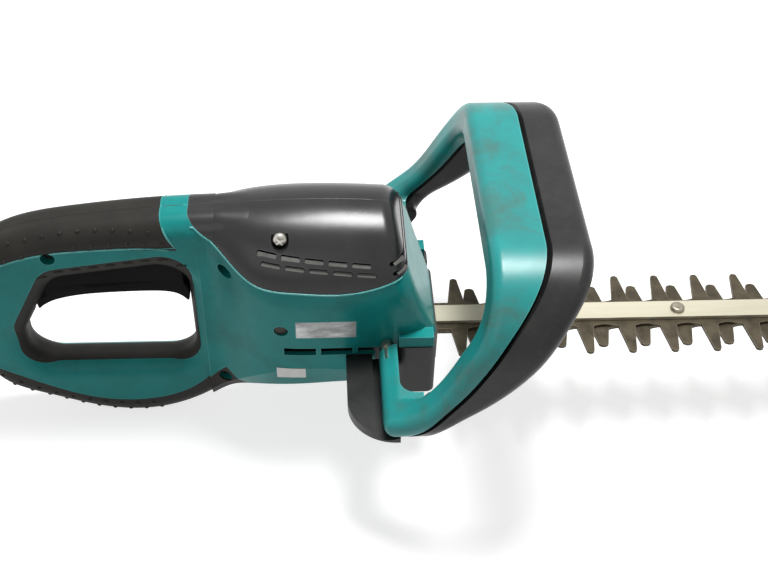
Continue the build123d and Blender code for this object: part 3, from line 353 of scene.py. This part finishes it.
def met_from_side(x, z, side, *names):
    """Name, place and normal of the CAD node that a line across the tool meets first at a place."""
    start = Vector((x, side * far_side, z))
    nearest = None
    for name in names:
        hit, place, normal, face = nodes[name].ray_cast(start, Vector((0, -side, 0)))
        if hit and (nearest is None or abs(place.y - start.y) < abs(nearest[1].y - start.y)):
            nearest = (name, place, normal)
    return nearest


def spread(master, seats):
    """Copies of a shaped piece, one on each place and turn at its length share, joined to one piece."""
    copies = []
    for place, turn, size in seats:
        bpy.ops.object.select_all(action="DESELECT")
        master.select_set(True)
        bpy.context.view_layer.objects.active = master
        bpy.ops.object.duplicate()
        copy = bpy.context.object
        copy.location = place
        copy.rotation_euler = turn
        copy.scale.x = size
        copies.append(copy)
    bpy.ops.object.select_all(action="DESELECT")
    for copy in copies:
        copy.select_set(True)
    bpy.context.view_layer.objects.active = copies[0]
    bpy.ops.object.join()
    return bpy.context.object


# Pale grey for the slats: a painted highlight, with some dust.
dust_and_highlight_black = mottled("dust_and_highlight_black", (0.16, 0.155, 0.145), (0.085, 0.082, 0.078), 0.01, (0.5, 0.7),
                      0.0006, 0.00003, gloss=0.35)
bpy.ops.object.select_all(action="DESELECT")
bpy.ops.mesh.primitive_cube_add(size=1)
slat = bpy.context.object
slat.scale = slat_size
bpy.ops.object.transform_apply(location=True, rotation=True, scale=True)
bpy.ops.object.mode_set(mode="EDIT")
bpy.ops.mesh.select_all(action="SELECT")
bpy.ops.mesh.bevel(offset=slat_rounding, segments=2)
bpy.ops.object.mode_set(mode="OBJECT")
for half, side in (("right", -1), ("left", 1)):
    slat_seats = []
    vents = [(place, nose_vent_rise, nose_slat_share) for place in nose_vents]
    for start, end in vent_rows:
        for k in range(vent_count):
            share = (k + 0.5) / vent_count
            place = (start[0] + (end[0] - start[0]) * share, start[1] + (end[1] - start[1]) * share)
            vents.append((place, vent_fall, 1.0))
    for (x, z), fall, size in vents:
        skins = []
        reach = slat_reach * size ** 2
        for end in (-1, 1):
            low_z = z - vent_half_height - end * reach * math.tan(fall)
            met = met_from_side(x + end * reach, low_z, side, half + "_motor_cover")
            skins.append(met[1].y)
        turn = math.atan2(skins[1] - skins[0], 2 * reach)
        skin = (skins[0] + skins[1]) / 2
        slat_place = (x, skin - side * slat_depth, z - slat_drop)
        slat_seats.append((slat_place, (-side * slat_slope, fall, turn), size))
    finish_piece(spread(slat, slat_seats), half + "_vent_louvres", dust_and_highlight_black)
bpy.data.objects.remove(slat)

# Cover screw
# One bright zinc plated pan head screw with a cross recess, deep in a round pocket on the right of the
# cover. It holds the two cover halves together.
head_radius = 0.0040
head_height = 0.0026
head_rounding = 0.0007
head_crease = math.radians(35)
shank_radius = 0.0020
recess_size = (0.0052, 0.0011, 0.0030)
recess_turns = (math.radians(35), math.radians(125))
screw_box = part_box("cover_screw")
screw_x = (screw_box[0][0] + screw_box[1][0]) / 2
screw_z = (screw_box[0][2] + screw_box[1][2]) / 2
screw_length = screw_box[1][1] - screw_box[0][1]
bpy.ops.object.select_all(action="DESELECT")
bpy.ops.mesh.primitive_cylinder_add(radius=head_radius, depth=head_height,
                                    location=(0, 0, -head_height / 2), vertices=40)
screw_head = bpy.context.object
bpy.ops.object.mode_set(mode="EDIT")
bpy.ops.mesh.select_all(action="SELECT")
bpy.ops.mesh.bevel(offset=head_rounding, segments=4)
bpy.ops.object.mode_set(mode="OBJECT")
for turn in recess_turns:
    bpy.ops.mesh.primitive_cube_add(size=1, rotation=(0, 0, turn))
    blade = bpy.context.object
    blade.scale = recess_size
    cut = screw_head.modifiers.new("recess", "BOOLEAN")
    cut.operation = "DIFFERENCE"
    cut.object = blade
    bpy.ops.object.select_all(action="DESELECT")
    bpy.context.view_layer.objects.active = screw_head
    bpy.ops.object.modifier_apply(modifier=cut.name)
    bpy.data.objects.remove(blade)
bpy.ops.mesh.primitive_cylinder_add(radius=shank_radius, depth=screw_length - head_height,
                                    location=(0, 0, -(screw_length + head_height) / 2), vertices=24)
bpy.context.object.select_set(True)
screw_head.select_set(True)
bpy.context.view_layer.objects.active = screw_head
bpy.ops.object.join()
screw_head.rotation_euler = (math.radians(90), 0, 0)
screw_head.location = (screw_x, screw_box[0][1], screw_z)
bright_zinc = mottled("bright_zinc", (0.60, 0.59, 0.55), (0.36, 0.33, 0.28), 0.003, (0.25, 0.45),
                      0.0005, 0.00002, 0.9)
finish_piece(screw_head, "cover_screw_turned", bright_zinc)
bpy.ops.object.shade_smooth_by_angle(angle=head_crease)
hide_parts("cover_screw")

# Grip pads, liners and lower strips
# Soft black rubber moulded into shallow recesses of the handle, over the grip, round the hand opening
# and under the lower bar. Hands have left it brown and greasy.
soft_rubber = mottled("soft_rubber", (0.013, 0.0120, 0.0105), (0.027, 0.025, 0.020), 0.02, (0.48, 0.66),
                      0.0006, 0.00005, gloss=0.2)
for rubber in ("grip_pad", "handle_liner", "lower_strip"):
    dress(soft_rubber, "right_" + rubber, "left_" + rubber)

# Grip dots
# Small rubber domes moulded on the pads in two rows, and along the lower strips, to keep the hand from
# slipping. They leave the screw wells free.
dot_radius = 0.0014
dot_height = 0.0008
dot_pitch = 0.0103
well_place = -0.234
well_room = 0.011
left_drop = 0.0045
upper_row_z = 0.085
dot_rows = [("grip_pad", -0.256, 9, 0.090, -0.190, -2.3),
            ("grip_pad", -0.259, 10, 0.082, -0.183, -2.1),
            ("lower_strip", -0.290, 11, -0.060, -0.196, 4.2),
            ("lower_strip", -0.285, 11, -0.066, -0.196, 4.0)]
bpy.ops.object.select_all(action="DESELECT")
bpy.ops.mesh.primitive_uv_sphere_add(segments=14, ring_count=8, radius=dot_radius)
dot = bpy.context.object
dot.scale.z = dot_height / dot_radius
bpy.ops.object.transform_apply(location=True, rotation=True, scale=True)
bpy.ops.object.mode_set(mode="EDIT")
bpy.ops.mesh.select_all(action="SELECT")
bpy.ops.mesh.bisect(plane_co=(0, 0, -dot_height / 2), plane_no=(0, 0, 1), clear_inner=True, use_fill=True)
bpy.ops.object.mode_set(mode="OBJECT")
bpy.ops.object.shade_smooth()
for half, side in (("right", -1), ("left", 1)):
    for rubber in ("grip_pad", "lower_strip"):
        dot_seats = []
        for carrier, first_x, count, top_z, top_x, curl in dot_rows:
            for k in range(count):
                x = first_x + dot_pitch * k
                z = top_z + curl * (x - top_x) ** 2 - (left_drop if side > 0 and top_z > 0 else 0)
                met = met_from_side(x, z, side, f"{half}_{rubber}", half + "_housing")
                clear = rubber == "lower_strip" or top_z > upper_row_z or abs(x - well_place) > well_room
                if carrier == rubber and clear and met and met[0] == f"{half}_{rubber}":
                    dot_seats.append((met[1], met[2].to_track_quat("Z", "Y").to_euler(), 1.0))
        finish_piece(spread(dot, dot_seats), f"{half}_{rubber}_dots", soft_rubber)
bpy.data.objects.remove(dot)

# Raised lines
# The teal mouldings end in a small rounded lip beside each rubber inlay and along the motor cover, which
# catches the light and is coloured a paler teal than the mouldings, a painted highlight that shows it as a
# pale line. The halves meet in a fine seam along the crest, drawn on the teal neck in dark plastic as a
# painted shade line.
lip_radius = 0.00060
lip_offset = 0.00045
seam_radius = 0.00030
search_steps = 12


def edge_seat(on_node, beyond, side, node, names, offset):
    """What lies at an offset past the place where a CAD node ends, from a place on it to one beyond it."""
    run = Vector((beyond[0] - on_node[0], beyond[1] - on_node[1])).normalized()
    for step in range(search_steps):
        middle = ((on_node[0] + beyond[0]) / 2, (on_node[1] + beyond[1]) / 2)
        met = met_from_side(*middle, side, *names)
        if met and met[0] == node:
            on_node = middle
        else:
            beyond = middle
    met = met_from_side(beyond[0] + run.x * offset, beyond[1] + run.y * offset, side, *names)
    return met


def stations(first, step, count):
    """Evenly spaced places along one axis."""
    return [first + step * k for k in range(count)]


def raised_line(name, route, radius, material):
    """A thin round bead along places on the surface, half sunk in it."""
    bpy.ops.object.select_all(action="DESELECT")
    bpy.ops.curve.primitive_nurbs_path_add()
    bead = bpy.context.object
    bead.data.splines.clear()
    run = bead.data.splines.new("POLY")
    run.points.add(len(route) - 1)
    for point, place in zip(run.points, route):
        point.co = (*place, 1)
    bead.data.bevel_depth = radius
    bead.data.bevel_resolution = 2
    bead.data.use_fill_caps = True
    bpy.ops.object.convert(target="MESH")
    bpy.ops.object.shade_smooth()
    finish_piece(bpy.context.object, name, material)


# A paler teal for the lips than for the mouldings: a painted highlight.
lip_highlight_teal = mottled("lip_highlight_teal", (0.110, 0.440, 0.420), (0.050, 0.320, 0.305), 0.02, (0.25, 0.4),
                    0.0007, 0.00002)
cover_run = stations(-0.1495, 0.0018, 77)
cover_span = (0.0925, 0.0520)
pad_run = stations(-0.292, 0.0020, 66)
pad_span = (0.0845, 0.0460)
front_run = stations(0.0775, 0.0012, 13)
front_span = (-0.185, -0.152)
for half, side in (("right", -1), ("left", 1)):
    housing = half + "_housing"
    cover = half + "_motor_cover"
    pad = half + "_grip_pad"
    cover_seats = [edge_seat((x, cover_span[0]), (x, cover_span[1]), side, cover, (cover, housing),
                             lip_offset) for x in cover_run]
    cover_lip = [met[1] for met in cover_seats if met]
    raised_line(half + "_cover_lip", cover_lip, lip_radius, lip_highlight_teal)
    pad_seats = [edge_seat((x, pad_span[0]), (x, pad_span[1]), side, pad, (pad, housing), lip_offset)
                 for x in pad_run]
    front_seats = [edge_seat((front_span[0], z), (front_span[1], z), side, pad, (pad, housing), lip_offset)
                   for z in front_run]
    pad_lip = [met[1] for met in pad_seats + front_seats if met]
    raised_line(half + "_pad_lip", pad_lip, lip_radius, lip_highlight_teal)

# On the teal housing the seam is drawn in the dark inner plastic: painted shade in the joint.
crest_runs = [("right_grip_pad", -0.284, -0.170, soft_rubber, "black_rubber"),
              ("right_housing", -0.166, -0.153, inner_plastic, "teal_plastic"),
              ("right_motor_cover", -0.148, -0.042, satin_black, "black_plastic")]
crest_step = 0.002
crest_side = -0.0001
crest_above = 0.2
for name, start, end, material, slot in crest_runs:
    crest = []
    for k in range(int((end - start) / crest_step) + 1):
        above = Vector((start + crest_step * k, crest_side, crest_above))
        hit, place, normal, face = nodes[name].ray_cast(above, Vector((0, 0, -1)))
        if hit:
            crest.append((place.x, 0, place.z - seam_radius / 2))
    raised_line(name.replace("right_", "crest_seam_"), crest, seam_radius, material)

# Lip bumps
# A row of long low rubber bumps, moulded on the outer band of the liners over the hand opening, where
# the fingers curl.
bump_half_size = (0.0034, 0.0012, 0.0008)
bump_pitch = 0.0104
bump_first_x = -0.240
bump_count = 9
bump_inset = -0.0028
roof_rear = (-0.236, 0.050)
roof_front = (-0.155, 0.062)
roof_slope = (roof_front[1] - roof_rear[1]) / (roof_front[0] - roof_rear[0])
band_inside = 0.005
band_outside = 0.020
bpy.ops.object.select_all(action="DESELECT")
bpy.ops.mesh.primitive_uv_sphere_add(segments=16, ring_count=8, radius=1)
lip_bump = bpy.context.object
lip_bump.scale = bump_half_size
bpy.ops.object.transform_apply(location=True, rotation=True, scale=True)
bpy.ops.object.mode_set(mode="EDIT")
bpy.ops.mesh.select_all(action="SELECT")
bpy.ops.mesh.bisect(plane_co=(0, 0, -bump_half_size[2] / 2), plane_no=(0, 0, 1), clear_inner=True,
                    use_fill=True)
bpy.ops.object.mode_set(mode="OBJECT")
bpy.ops.object.shade_smooth()
for half, side in (("right", -1), ("left", 1)):
    liner = half + "_handle_liner"
    bump_seats = []
    for k in range(bump_count):
        x = bump_first_x + bump_pitch * k
        roof = roof_rear[1] + roof_slope * (x - roof_rear[0])
        met = edge_seat((x, roof + band_inside), (x, roof + band_outside), side, liner,
                        (liner, half + "_housing"), bump_inset)
        if met and met[0] == liner:
            out = met[2]
            along = Vector((1, 0, roof_slope))
            along = (along - along.dot(out) * out).normalized()
            turn = Matrix((along, out.cross(along), out)).transposed().to_euler()
            bump_seats.append((met[1], turn, 1.0))
    finish_piece(spread(lip_bump, bump_seats), half + "_lip_bumps", soft_rubber)
bpy.data.objects.remove(lip_bump)

# Rating plate
# A thin blank metal foil, glued into a shallow recess in the right side of the body, scuffed and
# smudged by use.
scuffed_foil = mottled("scuffed_foil", (0.62, 0.63, 0.62), (0.10, 0.11, 0.11), 0.010, (0.35, 0.55),
                       0.0006, 0.00002, 0.4, (0.6, 1, 1.6))
dress(scuffed_foil, "rating_plate")

# Blank sticker
# A small white paper label with nothing on it, glued to the chamfer under the right side. It bends with
# the skin that it lies on.
sticker_centre = (-0.094, -0.0102)
sticker_size = (0.018, 0.0115)
sticker_cells = (18, 12)
sticker_thickness = 0.00015
bpy.ops.object.select_all(action="DESELECT")
bpy.ops.mesh.primitive_grid_add(x_subdivisions=sticker_cells[0], y_subdivisions=sticker_cells[1], size=1,
                                rotation=(math.radians(90), 0, 0))
sticker = bpy.context.object
sticker.scale = (*sticker_size, 1)
sticker.location = (sticker_centre[0], -far_side, sticker_centre[1])
bpy.ops.object.transform_apply(location=True, rotation=True, scale=True)
lay = sticker.modifiers.new("lay", "SHRINKWRAP")
lay.target = nodes["right_housing"]
lay.wrap_method = "PROJECT"
lay.wrap_mode = "ABOVE_SURFACE"
lay.use_project_x = False
lay.use_project_y = True
lay.use_project_z = False
lay.use_negative_direction = True
lay.use_positive_direction = True
lay.offset = 2 * sticker_thickness
bpy.ops.object.modifier_apply(modifier=lay.name)
paper = sticker.modifiers.new("paper", "SOLIDIFY")
paper.thickness = sticker_thickness
bpy.ops.object.modifier_apply(modifier=paper.name)
white_paper = mottled("white_paper", (0.92, 0.92, 0.90), (0.80, 0.79, 0.75), 0.006, (0.5, 0.65), 0.0005,
                      0.00001)
finish_piece(sticker, "blank_sticker", white_paper)

# Rear trigger
# A long black plastic lever in the roof of the hand opening, hinged on a steel pin at its front end and
# sprung down. It is coloured darker and duller than the other black plastics: painted shade for the roof
# of the opening.
# Darker and nearly without gloss: painted shade in the roof of the hand opening.
painted_shade_black = mottled("painted_shade_black", (0.007, 0.007, 0.0075), (0.013, 0.013, 0.013), 0.03, (0.5, 0.65),
                     0.0008, 0.00004, gloss=0.04)
dress(painted_shade_black, "rear_trigger")
dress(oiled_steel, "trigger_pin", "trigger_spring")

# Trigger skirt
# The lower edge of the trigger is drawn out into a rim that turns down at both ends of the hand opening.
# It is one moulding with the trigger and swings with it. Its dark down-turned ends also stand in for the
# shaded inner walls at the ends of the opening, as painted shade.
skirt_outline = [(-0.2495, 0.0205), (-0.2455, 0.0250), (-0.2380, 0.0295), (-0.2250, 0.0328),
                 (-0.2100, 0.0345), (-0.1850, 0.0355), (-0.1690, 0.0352), (-0.1605, 0.0320),
                 (-0.1553, 0.0245), (-0.1553, 0.0420), (-0.1700, 0.0460), (-0.2100, 0.0440),
                 (-0.2350, 0.0430), (-0.2495, 0.0400)]
skirt_half_width = 0.0080
skirt_rounding = 0.0012
skirt_merge = 0.000002
bpy.ops.object.select_all(action="DESELECT")
bpy.ops.curve.primitive_nurbs_circle_add(rotation=(math.radians(90), 0, 0))
skirt = bpy.context.object
skirt.data.dimensions = "2D"
skirt.data.splines.clear()
skirt_run = skirt.data.splines.new("NURBS")
skirt_run.points.add(len(skirt_outline) - 1)
for point, (x, z) in zip(skirt_run.points, skirt_outline):
    point.co = (x, z, 0, 1)
skirt_run.use_cyclic_u = True
skirt_run.order_u = 3
skirt_run.resolution_u = 8
skirt.data.fill_mode = "BOTH"
skirt.data.extrude = skirt_half_width - skirt_rounding
skirt.data.bevel_depth = skirt_rounding
skirt.data.bevel_resolution = 4
skirt.data.offset = -skirt_rounding
bpy.ops.object.convert(target="MESH")
skirt = bpy.context.object
bpy.ops.object.mode_set(mode="EDIT")
bpy.ops.mesh.select_all(action="SELECT")
bpy.ops.mesh.remove_doubles(threshold=skirt_merge)
bpy.ops.mesh.normals_make_consistent(inside=False)
bpy.ops.object.mode_set(mode="OBJECT")
# The skirt takes the trigger's darker finish: painted shade.
finish_piece(skirt, "trigger_skirt", painted_shade_black, "trigger")
bpy.ops.object.shade_smooth_by_angle(angle=crease_angle)

# Front handle
# A black hoop fixed to the ears of the gear case, with a teal switch bar on steel pins, sprung into its
# rear face. Hands have worn and soiled the broad face of the bar, and its sharp edges are painted a
# brighter teal as a highlight.
hand_worn_highlit_teal = mottled("hand_worn_highlit_teal", (0.012, 0.285, 0.275), (0.020, 0.205, 0.195), 0.035,
                         (0.25, 0.40), 0.0007, 0.00003, gloss=0.4)
soil(hand_worn_highlit_teal, (0.070, 0.125, 0.100), 0.034, 0.80)
# Brighter teal on the sharp edges of the bar: a painted highlight.
wear_and_highlight_edges(hand_worn_highlit_teal, (0.12, 0.50, 0.47), 0.0012, 0.4)
hoop_black = mottled("hoop_black", (0.012, 0.012, 0.0125), (0.024, 0.023, 0.022), 0.03, (0.24, 0.38),
                     0.0008, 0.00004, gloss=0.32)
soil(hoop_black, (0.050, 0.049, 0.046), 0.008, 0.25)
dress(hand_worn_highlit_teal, "front_switch_bar")
dress(hoop_black, "front_handle_frame")
dress(oiled_steel, "switch_bar_pins", "switch_bar_springs")

# Floor
# A plain pale sheet under the tool. To the camera and in reflections it adds white of its own, and it
# keeps the tool's shadow.
floor_size = 12.0
floor_grey = (0.52, 0.52, 0.52)
floor_roughness = 0.7
floor_glow = 0.72


def straight_sight(tree):
    """One for what the camera sees, also by reflection and through glass, and none for diffuse light."""
    ray = tree.nodes.new("ShaderNodeLightPath")
    seen = tree.nodes.new("ShaderNodeMath")
    seen.operation = "MAXIMUM"
    tree.links.new(ray.outputs["Is Camera Ray"], seen.inputs[0])
    tree.links.new(ray.outputs["Is Glossy Ray"], seen.inputs[1])
    seen_through = tree.nodes.new("ShaderNodeMath")
    seen_through.operation = "MAXIMUM"
    tree.links.new(seen.outputs["Value"], seen_through.inputs[0])
    tree.links.new(ray.outputs["Is Transmission Ray"], seen_through.inputs[1])
    return seen_through.outputs["Value"]


bpy.ops.object.select_all(action="DESELECT")
bpy.ops.mesh.primitive_plane_add(size=floor_size, location=(0, 0, cad_box[0][2]))
floor = bpy.context.object
floor.name = "floor"
floor_paint = bpy.data.materials.new("floor_paint")
floor_paint.use_nodes = True
floor_tree = floor_paint.node_tree
floor_shader = floor_tree.nodes["Principled BSDF"]
floor_shader.inputs["Base Color"].default_value = (*floor_grey, 1)
floor_shader.inputs["Roughness"].default_value = floor_roughness
floor_shader.inputs["Emission Color"].default_value = (1, 1, 1, 1)
glow = floor_tree.nodes.new("ShaderNodeMath")
glow.operation = "MULTIPLY"
glow.inputs[1].default_value = floor_glow
floor_tree.links.new(straight_sight(floor_tree), glow.inputs[0])
floor_tree.links.new(glow.outputs["Value"], floor_shader.inputs["Emission Strength"])
floor.data.materials.append(floor_paint)

# Light
# One soft box overhead and a little behind, a weak one on the near side, and an even white sky that
# lights the tool less than it shows.
lamp_aim = (-0.05, 0, 0)
sky_level = 0.16


def soft_box(name, place, aim, size, power):
    """A square area lamp that looks at a point."""
    bpy.ops.object.light_add(type="AREA", location=place)
    lamp = bpy.context.object
    lamp.name = name
    lamp.data.size = size
    lamp.data.energy = power
    lamp.rotation_euler = (Vector(aim) - Vector(place)).to_track_quat("-Z", "Y").to_euler()


soft_box("overhead_lamp", (0.10, 0.22, 1.5), lamp_aim, 0.46, 28)
soft_box("near_lamp", (-0.6, -1.5, 0.9), lamp_aim, 1.2, 3)
sky = bpy.data.worlds.new("sky")
sky.use_nodes = True
sky_tree = sky.node_tree
sky_tree.nodes["Background"].inputs["Color"].default_value = (1, 1, 1, 1)
sky_white = sky_tree.nodes.new("ShaderNodeMapRange")
sky_white.inputs["To Min"].default_value = sky_level
sky_white.inputs["To Max"].default_value = 1.0
sky_tree.links.new(straight_sight(sky_tree), sky_white.inputs["Value"])
sky_tree.links.new(sky_white.outputs["Result"], sky_tree.nodes["Background"].inputs["Strength"])
bpy.context.scene.world = sky

# Camera
# Beside and above the right side of the tool, turned a little and tilted a little, as for a table shot.
# Its place is that of the eye, and its axes follow from the three angles.
camera_place = Vector((-0.07221, -0.55032, 0.54132))
camera_azimuth = math.radians(-3.862)
camera_elevation = math.radians(43.0)
camera_roll = math.radians(1.611)
camera_film = 36
camera_lens = 56.25
camera_sight = 50
back = Vector((math.sin(camera_azimuth) * math.cos(camera_elevation),
               -math.cos(camera_azimuth) * math.cos(camera_elevation), math.sin(camera_elevation)))
level = Vector((math.cos(camera_azimuth), math.sin(camera_azimuth), 0))
upward = back.cross(level)
right = math.cos(camera_roll) * level + math.sin(camera_roll) * upward
top = -math.sin(camera_roll) * level + math.cos(camera_roll) * upward
bpy.ops.object.camera_add()
camera = bpy.context.object
camera.data.sensor_width = camera_film
camera.data.lens = camera_lens
camera.data.clip_end = camera_sight
turn = Matrix((right, top, back)).transposed().to_4x4()
camera.matrix_world = Matrix.Translation(camera_place) @ turn
bpy.context.scene.camera = camera
bpy.context.scene.view_settings.view_transform = "Standard"
